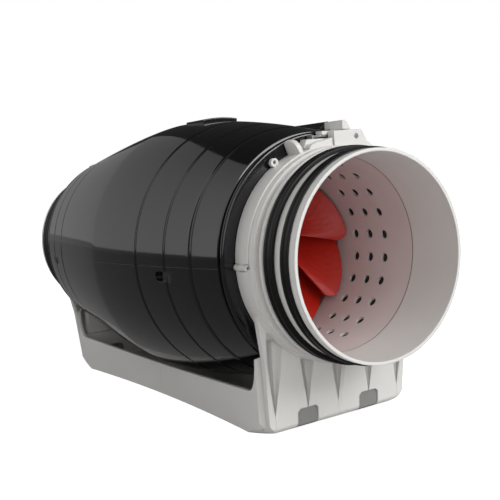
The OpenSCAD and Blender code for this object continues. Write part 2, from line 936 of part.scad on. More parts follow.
module shell_lower() {
    drop = 60;
    color(gloss_black) difference() {
        union() {
            on_axis() shell_half(1);
            intersection() {
                at_bosses() translate([0, 0, -drop]) cylinder(r = boss_r, h = drop);
                on_axis() barrel_solid(1);
            }
        }
        at_bosses() {
            translate([0, 0, -2 * drop]) cylinder(r = shell_head_r + snug, h = 2 * drop - shell_head_z);
            translate([0, 0, -drop]) cylinder(r = shell_screw_r + touch, h = drop + cut);
        }
        difference() {
            dimples();
            on_axis() barrel_solid(1.2);
        }
    }
}

module shell_screws() {
    color(steel) at_bosses() translate([0, 0, -shell_head_z]) {
        cylinder(r = shell_screw_r, h = shell_head_z + 10, $fn = 48);
        translate([0, 0, -shell_head_h]) cylinder(r = shell_head_r, h = shell_head_h, $fn = 48);
    }
}

module lining_section() {
    liner_out = bore_r + liner_wall + air;
    casing_out = lug_r + air;
    from = inner_start + air;
    to = inner_end - air;
    intersection() {
        polygon(concat([[bore_r, from]], barrel_points(from, to, shell_wall + air, barrel_steps),
                       [[bore_r, to]]));
        union() {
            translate([liner_out, from]) square([belly_r, throat_t - air - from]);
            translate([casing_out, throat_t + disc_t + air])
                square([belly_r, cone_end - throat_t - 2 * (disc_t + air)]);
            translate([liner_out, cone_end + air]) square([belly_r, to - cone_end - air]);
        }
    }
}

// Acoustic wool between the shells and the air path
module lining_half(side) {
    color(wool) difference() {
        on_axis() mirror([0, side > 0 ? 0 : 1, 0]) rotate_extrude(angle = 180) lining_section();
        at_bosses() translate([0, 0, -axis_h]) cylinder(r = boss_r + air, h = axis_h + 14 + air);
        at_terminal() {
            translate([0, lead_y, 0]) cylinder(r = conduit_r + air, h = belly_r);
            for (y = base_screw_y) translate([0, y, belly_r - 9]) cylinder(r = 2, h = 9);
        }
    }
}

module lining_upper() {
    lining_half(-1);
}

module lining_lower() {
    lining_half(1);
}

module perforations() {
    for (t = liner_rows)
        for (i = [0 : liner_holes - 1])
            turned(liner_phase + i * 360 / liner_holes) translate([bore_r - cut, 0, t]) rotate([0, 90, 0])
                cylinder(d = liner_hole_d, h = liner_wall + 2 * cut, $fn = 24);
}

module liner_front() {
    color(liner_grey) on_axis() difference() {
        ring(bore_r, bore_r + liner_wall, neck_start, throat_t);
        perforations();
    }
}

module liner_rear() {
    color(liner_grey) difference() {
        on_axis() ring(bore_r, bore_r + liner_wall, cone_end, total_len - neck_start);
        at_rear() on_axis() perforations();
    }
}

// ---------------------------------------------------- fan casings and motor

module lug_holes(t0, t1) {
    for (i = [0 : lug_screws - 1])
        turned(i * 360 / lug_screws)
            axial_rod(annulus_r + casing_wall + lug_h / 2, 0, lug_screw_r + touch, t0, t1);
}

module impeller_casing() {
    back = stator_t;
    color(light_grey) on_axis() difference() {
        rotate_extrude() polygon([[bore_r, throat_t],
            [barrel_r(throat_t) - shell_wall - air, throat_t],
            [barrel_r(throat_t) - shell_wall - air, throat_t + disc_t],
            [bore_r + casing_wall + 1, throat_t + disc_t],
            [annulus_r + casing_wall, back - 4], [annulus_r + casing_wall, back - disc_t],
            [lug_r, back - disc_t], [lug_r, back], [annulus_r, back]]);
        lug_holes(back - disc_t - cut, back + cut);
    }
}

module vanes() {
    reach = annulus_r - motor_hub_r + 3;
    intersection() {
        for (i = [0 : vane_count - 1])
            turned(terminal_angle + (i + 0.5) * 360 / vane_count)
                translate([motor_hub_r - 1, 0, stator_t + stator_len / 2]) rotate([vane_twist, 0, 0])
                    translate([0, -vane_t / 2, -vane_len / 2]) cube([reach, vane_t, vane_len]);
        translate([0, 0, stator_t]) cylinder(r = annulus_r - touch, h = stator_len);
    }
}

module lead_hole(r, from, to) {
    turned(terminal_angle) translate([from, 0, lead_y + mid_t]) rotate([0, 90, 0])
        cylinder(r = r, h = to - from, $fn = 48);
}

module stator_housing() {
    back = stator_t + stator_len;
    color(light_grey) on_axis() difference() {
        union() {
            ring(annulus_r, annulus_r + casing_wall, stator_t, back);
            ring(annulus_r + 1, lug_r, stator_t, stator_t + disc_t);
            ring(annulus_r + 1, lug_r, back - disc_t, back);
        }
        lug_holes(stator_t - cut, stator_t + disc_t + cut);
        lug_holes(back - disc_t - cut, back + cut);
        lead_hole(conduit_r + touch, annulus_r - cut, annulus_r + casing_wall + cut);
    }
}

// Cup that holds the motor, with the guide vanes that carry it in the housing
module motor_hub() {
    back = stator_t + stator_len;
    color(light_grey) on_axis() difference() {
        union() {
            ring(motor_hub_r - motor_hub_wall, motor_hub_r, motor_hub_t, back);
            ring(shaft_r + 2, motor_hub_r - 1, motor_hub_t, motor_hub_t + motor_plate_t);
            vanes();
        }
        lead_hole(conduit_r0, motor_hub_r - motor_hub_wall - cut, motor_hub_r + cut);
    }
}

module outlet_cone() {
    color(light_grey) on_axis() difference() {
        rotate_extrude() polygon([[annulus_r, cone_t], [lug_r, cone_t], [lug_r, cone_t + disc_t],
            [annulus_r + casing_wall, cone_t + disc_t], [bore_r + casing_wall + 1, cone_end - disc_t],
            [barrel_r(cone_end) - shell_wall - air, cone_end - disc_t],
            [barrel_r(cone_end) - shell_wall - air, cone_end], [bore_r, cone_end]]);
        lug_holes(cone_t - cut, cone_t + disc_t + cut);
    }
}

module casing_screw(t) {
    axial_rod(annulus_r + casing_wall + lug_h / 2, 0, lug_screw_r, t - disc_t, t + disc_t);
    axial_rod(annulus_r + casing_wall + lug_h / 2, 0, 2.6, t - disc_t - 1.8, t - disc_t);
}

module casing_screws() {
    color(steel) on_axis() for (i = [0 : lug_screws - 1])
        turned(i * 360 / lug_screws) {
            casing_screw(stator_t);
            casing_screw(cone_t);
        }
}

module tail_cone() {
    len = cone_end - 4 - cone_t;
    tip = cone_t + len;
    wall = motor_hub_wall;
    color(light_grey) on_axis() rotate_extrude() polygon([[motor_hub_r - wall, cone_t],
        [motor_hub_r, cone_t], [motor_hub_r * 0.9, cone_t + 0.27 * len],
        [motor_hub_r * 0.7, cone_t + 0.57 * len],
        [tail_tip_r, tip - 3], [tail_tip_r - 4, tip], [0, tip], [0, tip - wall],
        [tail_tip_r - 5, tip - wall], [motor_hub_r * 0.7 - wall, cone_t + 0.53 * len],
        [motor_hub_r * 0.9 - wall, cone_t + 0.25 * len]]);
}

module bolt_holes(t0, t1) {
    for (i = [0 : 3]) turned(45 + i * 90) axial_rod(bolt_pcr, 0, bolt_r + touch, t0, t1);
}

module motor_shield(t) {
    on_axis() difference() {
        ring(bearing_r + touch, shield_r, t, t + shield_w);
        bolt_holes(t - cut, t + shield_w + cut);
    }
}

module motor_front_shield() {
    color("silver") motor_shield(front_shield_t);
}

module motor_rear_shield() {
    color("silver") motor_shield(rear_shield_t);
}

module motor_core() {
    color("dimgray") on_axis() difference() {
        ring(core_bore, core_r, core_t, core_t + core_len);
        bolt_holes(core_t - cut, core_t + core_len + cut);
    }
}

module winding(t) {
    r0 = core_bore + 1.6;
    on_axis() rotate_extrude() polygon([[r0, t], [winding_r, t], [winding_r, t + winding_len - 2],
        [winding_r - 2, t + winding_len], [r0 + 2, t + winding_len], [r0, t + winding_len - 2]]);
}

module motor_windings() {
    color(copper) {
        winding(core_t + core_len);
        translate([0, 2 * (core_t - mid_t), 0]) at_rear() winding(core_t);
    }
}

module motor_bolts() {
    color(steel) on_axis() for (i = [0 : 3]) turned(45 + i * 90) {
        axial_rod(bolt_pcr, 0, bolt_r, front_shield_t + 1, rear_shield_t + shield_w);
        axial_rod(bolt_pcr, 0, 2.2, rear_shield_t + shield_w, rear_shield_t + shield_w + 2.2);
    }
}

module bearing(t) {
    on_axis() ring(shaft_r + 0.03, bearing_r, t, t + shield_w);
}

module bearing_front() {
    color(steel) bearing(front_shield_t);
}

module bearing_rear() {
    color(steel) bearing(rear_shield_t);
}

module motor_shaft() {
    color(steel) on_axis() axial_rod(0, 0, shaft_r, hub_front_t - nut_len - 1, shaft_end_t);
}

module motor_rotor() {
    color("dimgray") on_axis()
        ring(shaft_r + touch, core_bore - rotor_gap, core_t, core_t + core_len);
}

// Radius of the impeller's hub at a station
function hub_r(t) = hub_back_r * pow((t - hub_nose_t) / (hub_back_t - hub_nose_t), hub_taper);

function tip_r(t) = bore_r - tip_gap
    + max(0, t - throat_t) * (annulus_r - bore_r) / casing_len;

function lead_share(u) = pow(max(0, 1 - u / tip_share), 2);
function blade_hub_t(u) = blade_start + 16 + 28.5 * pow(u, 1.1);
function blade_tip_t(u) = blade_start + 10 * u + 12 * u * u + 22 * u * u * u + tip_sweep * lead_share(u);

// A point of a blade: u runs from the leading edge, v from the hub to the tip
function blade_point(u, v, offset) =
    let (r0 = hub_r(blade_hub_t(u)) - blade_root,
         r1 = tip_r(blade_tip_t(u)) - tip_round * lead_share(u),
         r = mix(r0, r1, v),
         a = asin(blade_lead / r) + blade_wrap * u,
         t = mix(blade_hub_t(u), blade_tip_t(u), v) + offset)
    [r * cos(a), -r * sin(a), t];

module blade() {
    n = blade_steps;
    m = 5;
    half = blade_t / 2;
    row = m + 1;
    count = (n + 1) * row;
    us = [for (i = [0 : n]) pow(i / n, 1.4)];
    points = concat([for (i = [0 : n]) for (j = [0 : m]) blade_point(us[i], j / m, -half)],
                    [for (i = [0 : n]) for (j = [0 : m]) blade_point(us[i], j / m, half)]);
    front = [for (i = [0 : n - 1]) for (j = [0 : m - 1]) let (k = i * row + j)
             each [[k, k + row + 1, k + 1], [k, k + row, k + row + 1]]];
    back = [for (f = front) [f[0] + count, f[2] + count, f[1] + count]];
    root = [for (i = [0 : n - 1]) let (k = i * row)
            each [[k, k + count, k + row + count], [k, k + row + count, k + row]]];
    tip = [for (i = [0 : n - 1]) let (k = i * row + m)
           each [[k, k + row + count, k + count], [k, k + row, k + row + count]]];
    lead = [for (j = [0 : m - 1]) each [[j, j + 1 + count, j + count], [j, j + 1, j + 1 + count]]];
    trail = [for (j = [0 : m - 1]) let (k = n * row + j)
             each [[k, k + count, k + 1 + count], [k, k + 1 + count, k + 1]]];
    polyhedron(points = points, faces = concat(front, back, root, tip, lead, trail), convexity = 6);
}

module impeller() {
    steps = 10;
    outline = [for (i = [0 : steps]) let (t = mix(hub_front_t, hub_back_t, i / steps)) [hub_r(t), t]];
    color(fan_red) on_axis() difference() {
        union() {
            rotate_extrude() polygon(concat([[0, hub_front_t]], outline, [[0, hub_back_t]]));
            for (i = [0 : blade_count - 1]) turned(impeller_phase + i * 360 / blade_count) blade();
        }
        translate([0, 0, hub_front_t - cut])
            cylinder(r = shaft_r + touch, h = hub_back_t - hub_front_t + 2 * cut);
        translate([0, 0, hub_front_t + 14]) cylinder(r1 = 8, r2 = hub_back_r - 5,
                                                     h = hub_back_t - hub_front_t - 13);
    }
}

module impeller_nut() {
    color(steel) on_axis() difference() {
        translate([0, 0, hub_front_t - nut_len]) cylinder(r = nut_r, h = nut_len, $fn = 6);
        translate([0, 0, hub_front_t - nut_len - cut])
            cylinder(r = shaft_r + touch, h = nut_len + 2 * cut, $fn = 48);
    }
}

// ------------------------------------------------------------- terminal box

module lead_conduit() {
    color(light_grey) on_axis() difference() {
        lead_hole(conduit_r, motor_hub_r + 0.05, box_floor - 0.5);
        lead_hole(conduit_r0, motor_hub_r - cut, box_floor + cut);
    }
}

module motor_lead() {
    color(rubber_black) on_axis() lead_hole(lead_r, winding_r + 0.2, box_floor + 2);
}

module box_block(depth, z0, z1) {
    translate([-terminal_w / 2 + depth, terminal_y0 + depth, z0])
        cube([terminal_w - 2 * depth, terminal_len - 2 * depth, z1 - z0]);
}

module at_box_posts() {
    for (x = [-1, 1])
        for (y = [-1, 1])
            translate([x * (terminal_w / 2 - box_post_inset), y * (terminal_len / 2 - box_post_inset), 0])
                children();
}

module terminal_base() {
    color(gloss_black) difference() {
        at_terminal() difference() {
            union() {
                difference() {
                    box_block(0, box_bottom, box_rim);
                    box_block(terminal_wall, box_floor, box_rim + cut);
                }
                at_box_posts() translate([0, 0, box_floor - 1])
                    cylinder(r = box_post_r, h = box_rim - box_floor + 1, $fn = 48);
            }
            at_box_posts() translate([0, 0, box_floor + 1])
                cylinder(r = box_screw_r + touch, h = box_rim, $fn = 48);
            translate([0, lead_y, box_bottom - cut])
                cylinder(r = conduit_r + touch, h = box_floor - box_bottom + 2 * cut);
            for (y = base_screw_y)
                translate([0, y, box_bottom - cut])
                    cylinder(r = box_screw_r + touch, h = box_floor - box_bottom + 2 * cut);
            translate([0, terminal_len / 2 + cut, gland_z]) rotate([90, 0, 0])
                cylinder(r = gland_r + touch, h = terminal_wall + 2 * cut);
        }
        on_axis() rotate_extrude() polygon(concat([[0, body_start]],
            barrel_points(body_start, body_end, -air, 28), [[0, body_end]]));
    }
}

module terminal_cover() {
    color(gloss_black) at_terminal() difference() {
        union() {
            difference() {
                box_block(0, box_rim, box_top);
                box_block(terminal_wall, box_rim - cut, box_top - terminal_wall);
            }
            at_box_posts() translate([0, 0, box_rim])
                cylinder(r = box_post_r, h = box_top - box_rim - 1, $fn = 48);
        }
        at_box_posts() {
            translate([0, 0, box_rim - cut]) cylinder(r = box_screw_r + touch, h = 30, $fn = 48);
            translate([0, 0, box_top - 3]) cylinder(r = 3 + snug, h = 4, $fn = 48);
        }
    }
}

module terminal_cover_screws() {
    color(steel) at_terminal() at_box_posts() {
        translate([0, 0, box_floor + 4])
            cylinder(r = box_screw_r, h = box_top - 3 - box_floor - 4, $fn = 48);
        translate([0, 0, box_top - 3]) cylinder(r = 3, h = 2, $fn = 48);
    }
}

module terminal_base_screws() {
    color(steel) at_terminal() for (y = base_screw_y) {
        translate([0, y, belly_r - base_screw_len])
            cylinder(r = box_screw_r, h = box_floor - belly_r + base_screw_len, $fn = 48);
        translate([0, y, box_floor]) cylinder(r = base_screw_head_r, h = 2, $fn = 48);
    }
}

module terminal_block() {
    x0 = terminal_w / 2 - block_inset - block_w;
    len = block_ways * block_pitch;
    color("ivory") at_terminal() translate([x0, -len / 2, box_floor]) difference() {
        cube([block_w, len, block_h]);
        for (i = [0 : block_ways - 1])
            for (x = [block_w / 4, block_w * 3 / 4])
                translate([x, (i + 0.5) * block_pitch, block_h - block_hole_depth])
                    cylinder(r = block_hole_r, h = block_hole_depth + cut, $fn = 32);
    }
}

module run_capacitor() {
    r = capacitor_r;
    color("gainsboro") at_terminal()
        translate([-terminal_w / 2 + capacitor_inset, -capacitor_len / 2, box_floor + r])
            rotate([-90, 0, 0]) cylinder(r = r, h = capacitor_len, $fn = 64);
}

module cable_gland() {
    wall_y = terminal_len / 2;
    color("dimgray") at_terminal() translate([0, wall_y, gland_z]) rotate([-90, 0, 0]) difference() {
        union() {
            translate([0, 0, -terminal_wall - 4]) cylinder(r = gland_r, h = terminal_wall + 4);
            cylinder(r = gland_flange_r, h = 5, $fn = 6);
            translate([0, 0, 5])
                cylinder(r1 = gland_flange_r - 1.2, r2 = gland_flange_r - 2.5, h = gland_len - 5);
        }
        translate([0, 0, -terminal_wall - 4 - cut])
            cylinder(r = gland_hole_r, h = terminal_wall + 4 + gland_len + 2 * cut);
    }
}

module gland_nut() {
    wall_y = terminal_len / 2 - terminal_wall;
    color("dimgray") at_terminal() translate([0, wall_y, gland_z]) rotate([90, 0, 0]) difference() {
        cylinder(r = gland_nut_r, h = 3.2, $fn = 6);
        translate([0, 0, -cut]) cylinder(r = gland_r + touch, h = 3.2 + 2 * cut);
    }
}

support_front();
support_rear();
joining_plate();
joining_screws();
foot_pads();
seal_front_outer();
seal_front_inner();
seal_rear_outer();
seal_rear_inner();
gasket_front();
gasket_rear();
clamp_front_left();
clamp_front_right();
clamp_rear_left();
clamp_rear_right();
clamp_hinge_pins();
latch_front();
latch_rear();
latch_hook_front();
latch_hook_rear();
latch_pin_front();
latch_pin_rear();
shell_upper();
shell_lower();
shell_screws();
lining_upper();
lining_lower();
liner_front();
liner_rear();
impeller_casing();
stator_housing();
motor_hub();
outlet_cone();
casing_screws();
tail_cone();
motor_front_shield();
motor_rear_shield();
motor_core();
motor_windings();
motor_bolts();
bearing_front();
bearing_rear();
motor_shaft();
motor_rotor();
impeller();
impeller_nut();
lead_conduit();
motor_lead();
terminal_base();
terminal_cover();
terminal_cover_screws();
terminal_base_screws();
terminal_block();
run_capacitor();
cable_gland();
gland_nut();
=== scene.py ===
"""Looks of the inline duct fan: finishes, smooth skins, small trim, studio and camera."""
import json
import math

import bmesh
import bpy
from mathutils import Matrix, Vector

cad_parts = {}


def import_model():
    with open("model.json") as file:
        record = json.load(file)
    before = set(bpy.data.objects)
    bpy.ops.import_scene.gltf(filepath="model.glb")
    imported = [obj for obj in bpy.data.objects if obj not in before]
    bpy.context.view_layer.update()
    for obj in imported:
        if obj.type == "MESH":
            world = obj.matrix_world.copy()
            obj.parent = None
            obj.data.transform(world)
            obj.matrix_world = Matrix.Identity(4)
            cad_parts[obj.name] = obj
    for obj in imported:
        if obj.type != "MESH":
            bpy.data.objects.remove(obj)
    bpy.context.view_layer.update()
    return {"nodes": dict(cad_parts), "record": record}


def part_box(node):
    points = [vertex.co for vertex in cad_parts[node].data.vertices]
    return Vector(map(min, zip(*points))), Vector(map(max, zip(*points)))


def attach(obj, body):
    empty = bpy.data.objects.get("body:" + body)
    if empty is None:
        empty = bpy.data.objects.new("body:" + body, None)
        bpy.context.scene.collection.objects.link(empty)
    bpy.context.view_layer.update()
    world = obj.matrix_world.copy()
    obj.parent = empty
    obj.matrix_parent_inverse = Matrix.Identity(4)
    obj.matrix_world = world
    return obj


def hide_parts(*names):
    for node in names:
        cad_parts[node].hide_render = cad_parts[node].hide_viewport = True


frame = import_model()

MM = 0.001

# ---------------------------------------------------------------- sizes read from the frame

SHELL_LOW, SHELL_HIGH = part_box("shell_lower")
SPIGOT_LOW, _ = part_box("support_front")
NECK_START = SHELL_LOW.y
AXIS_Z = SHELL_HIGH.z
BELLY_R = AXIS_Z - SHELL_LOW.z
INLET_Y = SPIGOT_LOW.y
BODY_START = INLET_Y + 53.0 * MM    # front rim of the barrel; the rear rim mirrors it
BODY_HALF = -BODY_START
RIM_R = 74.0 * MM
FRONT_TAPER = 1.7                   # powers of the barrel's curve before and behind its middle
REAR_TAPER = 1.25


def at(t):
    """Place along Y of a station counted in millimetres from the inlet rim."""
    return INLET_Y + t * MM


# ---------------------------------------------------------------- mesh helpers

SMOOTH_ANGLE = math.radians(30)


def new_object(name, verts, faces, material):
    mesh = bpy.data.meshes.new(name)
    mesh.from_pydata([tuple(v) for v in verts], [], faces)
    mesh.validate()
    bm = bmesh.new()
    bm.from_mesh(mesh)
    bmesh.ops.recalc_face_normals(bm, faces=bm.faces)
    bm.to_mesh(mesh)
    bm.free()
    for polygon in mesh.polygons:
        polygon.use_smooth = True
    mesh.set_sharp_from_angle(angle=SMOOTH_ANGLE)
    mesh.materials.append(material)
    obj = bpy.data.objects.new(name, mesh)
    bpy.context.scene.collection.objects.link(obj)
    return obj


def radial(r, angle, y):
    """Point at radius r and an angle seen from the inlet, anticlockwise from +X."""
    return (r * math.cos(angle), y, AXIS_Z + r * math.sin(angle))


def lathe(name, profile, material, start=0.0, end=360.0, steps=192):
    """Turns a closed profile of (radius, y) about the duct axis, from start to end degrees."""
    full = end - start >= 360.0
    rows = steps if full else steps + 1
    count = len(profile)
    verts = []
    for i in range(rows):
        angle = math.radians(start + (end - start) * i / steps)
        verts += [radial(r, angle, y) for r, y in profile]
    faces = []
    for i in range(steps):
        here, beyond = i * count, ((i + 1) % rows) * count
        for j in range(count):
            q = (j + 1) % count
            faces.append((here + j, here + q, beyond + q, beyond + j))
    if not full:
        faces.append(tuple(range(count)))
        faces.append(tuple(range((rows - 1) * count, rows * count)))
    return new_object(name, verts, faces, material)


def rounded(points, radius):
    """Profile with each corner replaced by a short curve that starts radius before it."""
    steps = 4
    share = 0.45    # a corner takes no more than this share of its sides
    out = []
    count = len(points)
    for i in range(count):
        before, here, after = (Vector(points[(i + k) % count]) for k in (-1, 0, 1))
        first = here + (before - here).normalized() * min(radius, (before - here).length * share)
        last = here + (after - here).normalized() * min(radius, (after - here).length * share)
        for s in range(steps + 1):
            u = s / steps
            p = first * (1 - u) ** 2 + here * 2 * u * (1 - u) + last * u ** 2
            out.append((p.x, p.y))
    return out


def mirrored(profile):
    """The same section at the outlet's end, where y is turned round."""
    return [(r, -y) for r, y in profile]


# ---------------------------------------------------------------- materials

MOTTLE_SCALE = 18.0    # noise cells in a metre, of the colour and of the gloss
GLOSS_SCALE = 60.0
GRAIN_DEPTH = 0.1 * MM


def node_of(tree, kind, **inputs):
    node = tree.nodes.new(kind)
    for key, value in inputs.items():
        node.inputs[key].default_value = value
    return node


def moulded(name, colour, roughness, grain=0.15, grain_size=0.9, mottle=0.03, edge=0.6,
            specular=0.5, smudge=0.05, metallic=0.0):
    """Moulded or machined surface: fine grain, faint mottling, uneven gloss and softened edges.

    grain_size and edge are in millimetres; grain is the strength of the bump, from 0 to 1;
    mottle and smudge say how far the colour and the roughness stray.
    """
    material = bpy.data.materials.new(name)
    material.use_nodes = True
    tree = material.node_tree
    shader = tree.nodes["Principled BSDF"]
    link = tree.links.new
    place = tree.nodes.new("ShaderNodeTexCoord").outputs["Object"]
    shader.inputs["Metallic"].default_value = metallic
    shader.inputs["IOR"].default_value = 1.5
    shader.inputs["Specular IOR Level"].default_value = specular

    broad = node_of(tree, "ShaderNodeTexNoise", Scale=MOTTLE_SCALE, Detail=3.0, Roughness=0.5)
    link(place, broad.inputs["Vector"])
    tone = tree.nodes.new("ShaderNodeValToRGB")
    tone.color_ramp.elements[0].position = 0.3
    tone.color_ramp.elements[1].position = 0.7
    tone.color_ramp.elements[0].color = (*[c * (1 - mottle) for c in colour], 1)
    tone.color_ramp.elements[1].color = (*[min(1, c * (1 + mottle)) for c in colour], 1)
    link(broad.outputs["Fac"], tone.inputs["Fac"])
    link(tone.outputs["Color"], shader.inputs["Base Color"])

    wear = node_of(tree, "ShaderNodeTexNoise", Scale=GLOSS_SCALE, Detail=4.0, Roughness=0.6)
    link(place, wear.inputs["Vector"])
    gloss = tree.nodes.new("ShaderNodeMapRange")
    gloss.inputs["From Min"].default_value = 0.35
    gloss.inputs["From Max"].default_value = 0.65
    gloss.inputs["To Min"].default_value = max(0.02, roughness - smudge)
    gloss.inputs["To Max"].default_value = roughness + smudge
    link(wear.outputs["Fac"], gloss.inputs["Value"])
    link(gloss.outputs["Result"], shader.inputs["Roughness"])

    fine = node_of(tree, "ShaderNodeTexNoise", Scale=1.0 / (grain_size * MM), Detail=2.0, Roughness=0.5)
    link(place, fine.inputs["Vector"])
    bump = tree.nodes.new("ShaderNodeBump")
    bump.inputs["Strength"].default_value = grain
    bump.inputs["Distance"].default_value = GRAIN_DEPTH
    link(fine.outputs["Fac"], bump.inputs["Height"])
    if edge:
        soft = tree.nodes.new("ShaderNodeBevel")
        soft.samples = 4
        soft.inputs["Radius"].default_value = edge * MM
        link(soft.outputs["Normal"], bump.inputs["Normal"])
    link(bump.outputs["Normal"], shader.inputs["Normal"])
    return material


LIGHT_GREY = (0.62, 0.61, 0.59)
RUBBER_BLACK = (0.002, 0.002, 0.0022)
GLOSS_BLACK = (0.004, 0.004, 0.0045)
MATERIALS = {
    "support_plastic": moulded("support_abs", LIGHT_GREY, 0.42, grain=0.12, mottle=0.02, edge=1.2),
    "pad_plastic": moulded("pad_grey", (0.21, 0.21, 0.205), 0.6, grain=0.25, edge=0.8),
    "seal_rubber": moulded("seal_rubber", RUBBER_BLACK, 0.45, grain=0.2, grain_size=0.5,
                           edge=0.5, specular=0.3),
    "body_black": moulded("body_gloss_black", GLOSS_BLACK, 0.07, grain=0.03, grain_size=6.0,
                          edge=0.5, smudge=0.02),
    # The lining's near-black colour is painted shade that makes the holes in the liner read dark; the
    # fleece itself is beige.
    "sound_lining": moulded("lining_painted_shade_dark", (0.02, 0.019, 0.018), 0.95, grain=0.8,
                            grain_size=1.2, mottle=0.3, edge=0.0),
    # The liner's pink tint is painted light: red bounce from the impeller laid on grey plastic.
    "liner_plastic": moulded("liner_grey", (0.6, 0.545, 0.535), 0.38, grain=0.08, edge=0.3),
    "casing_plastic": moulded("casing_grey", (0.36, 0.34, 0.335), 0.45),
    "impeller_red": moulded("impeller_red", (0.56, 0.016, 0.006), 0.42, grain=0.08,
                            mottle=0.08, edge=0.4),
    "steel": moulded("zinc_steel", (0.56, 0.56, 0.57), 0.28, grain=0.1, grain_size=0.4,
                     edge=0.25, metallic=1.0),
    "motor_aluminium": moulded("cast_aluminium", (0.6, 0.6, 0.61), 0.4, grain=0.4,
                               edge=0.4, metallic=1.0),
    "lamination_steel": moulded("laminations", (0.16, 0.16, 0.17), 0.45, grain=0.3,
                                edge=0.2, metallic=1.0),
    "winding_copper": moulded("enamelled_copper", (0.5, 0.17, 0.05), 0.3, grain=0.9,
                              edge=0.0, metallic=1.0),
    "cable_black": moulded("cable_sheath", (0.015, 0.015, 0.015), 0.5, grain=0.1, edge=0.0),
    "terminal_ivory": moulded("terminal_ivory", (0.62, 0.58, 0.44), 0.45, edge=0.3),
    "gland_plastic": moulded("gland_nylon", (0.04, 0.04, 0.042), 0.45, grain=0.2, edge=0.3),
}

FLUTE_PITCH = 24.0 * MM
FLUTE_FOOT = 12.0 * MM                # height at which a flute runs out to a point
FLUTE_FLARE = 0.16                    # half width gained for each unit of height above the foot
FLUTE_HALF = (0.05 * MM, 5.5 * MM)    # least and greatest half width
FLUTE_DEPTH = 4.0 * MM
FLUTE_STRENGTH = 0.9
FLUTE_TOP = AXIS_Z - 40 * MM
PLATE_MIDDLE = BODY_HALF + 4.0 * MM   # of the end plates along Y, and how far they reach from it
PLATE_REACH = 3.9 * MM


def flute_shading(material):
    """Deepens the look of the end plates' pointed flutes, which narrow towards the foot."""
    tree = material.node_tree
    link = tree.links.new
    place = tree.nodes.new("ShaderNodeTexCoord")
    parts = tree.nodes.new("ShaderNodeSeparateXYZ")
    link(place.outputs["Object"], parts.inputs[0])

    def maths(operation, first, second, clamp=False):
        step = tree.nodes.new("ShaderNodeMath")
        step.operation = operation
        step.use_clamp = clamp
        for socket, value in zip(step.inputs, (first, second)):
            if isinstance(value, float):
                socket.default_value = value
            else:
                link(value, socket)
        return step.outputs[0]

    off_centre = maths("PINGPONG", parts.outputs["X"], FLUTE_PITCH / 2)
    flare = maths("MULTIPLY", maths("SUBTRACT", parts.outputs["Z"], FLUTE_FOOT), FLUTE_FLARE)
    half_width = maths("MAXIMUM", maths("MINIMUM", flare, FLUTE_HALF[1]), FLUTE_HALF[0])
    depth = maths("SUBTRACT", 1.0, maths("DIVIDE", off_centre, half_width), clamp=True)
    outwards = maths("ABSOLUTE", parts.outputs["Y"], 0.0)
    on_plate = maths("COMPARE", outwards, PLATE_MIDDLE)
    on_plate.node.inputs[2].default_value = PLATE_REACH
    below_ring = maths("LESS_THAN", parts.outputs["Z"], FLUTE_TOP)
    mask = maths("MULTIPLY", on_plate, below_ring)
    bump = tree.nodes.new("ShaderNodeBump")
    bump.invert = True
    bump.inputs["Distance"].default_value = FLUTE_DEPTH
    bump.inputs["Strength"].default_value = FLUTE_STRENGTH
    link(maths("MULTIPLY", depth, mask), bump.inputs["Height"])
    shader = tree.nodes["Principled BSDF"]
    link(shader.inputs["Normal"].links[0].from_socket, bump.inputs["Normal"])
    link(bump.outputs["Normal"], shader.inputs["Normal"])


def finish_cad_nodes():
    """Gives every node of the frame the material of its slot."""
    flute_shading(MATERIALS["support_plastic"])
    for part in frame["record"]["subparts"]:
        obj = frame["nodes"][part["node"]]
        obj.data.materials.clear()
        obj.data.materials.append(MATERIALS[part["material_slot"]])


# ---------------------------------------------------------------- body skins

GROOVES = (81.0, 107.0, 139.0, 293.0, 319.0)    # stations from the inlet rim, in millimetres
GROOVE_HALF = 0.9 * MM
GROOVE_DEPTH = 0.9 * MM
GROOVE_MOUTH = 1.3        # where a groove's wall starts, and how far it slopes, in half widths
GROOVE_SLOPE = 0.6
GROOVE_POINTS = (-1.5, -1.2, -1.0, -0.8, -0.5, 0.0, 0.5, 0.8, 1.0, 1.2, 1.5)
SHELL_WALL = 3.0 * MM
NECK_INNER = 61.3 * MM
NECK_OUTER = 63.1 * MM
RIM_LEN = 5.0 * MM        # length of each rim with its bead
OUTER_STEPS = 150
INNER_STEPS = 40


def barrel_radius(y):
    taper = FRONT_TAPER if y < 0 else REAR_TAPER
    return BELLY_R - (BELLY_R - RIM_R) * abs(y / BODY_HALF) ** taper


def rim_bead():
    """Rolled bead at the body's front rim and the fine groove behind it, as (radius, y) points."""
    start = BODY_START
    size = 1.6 * MM
    centre = barrel_radius(start) - 1.2 * MM
    bead = [(centre + size * math.sin(a), start + size * (1 - math.cos(a)))
            for a in (math.radians(k) for k in range(0, 181, 15))]
    groove = [(centre - 0.2 * MM, start + k * MM) for k in (3.5, 4.0)]
    edge = start + 4.6 * MM
    return bead + groove + [(barrel_radius(edge), edge)]


def groove_depth(y):
    """How deep the grooves cut into the barrel at a place along Y."""
    for groove in GROOVES:
        off = abs(y - at(groove)) / GROOVE_HALF
        if off < GROOVE_MOUTH:
            return GROOVE_DEPTH * min(1.0, (GROOVE_MOUTH - off) / GROOVE_SLOPE)
    return 0.0


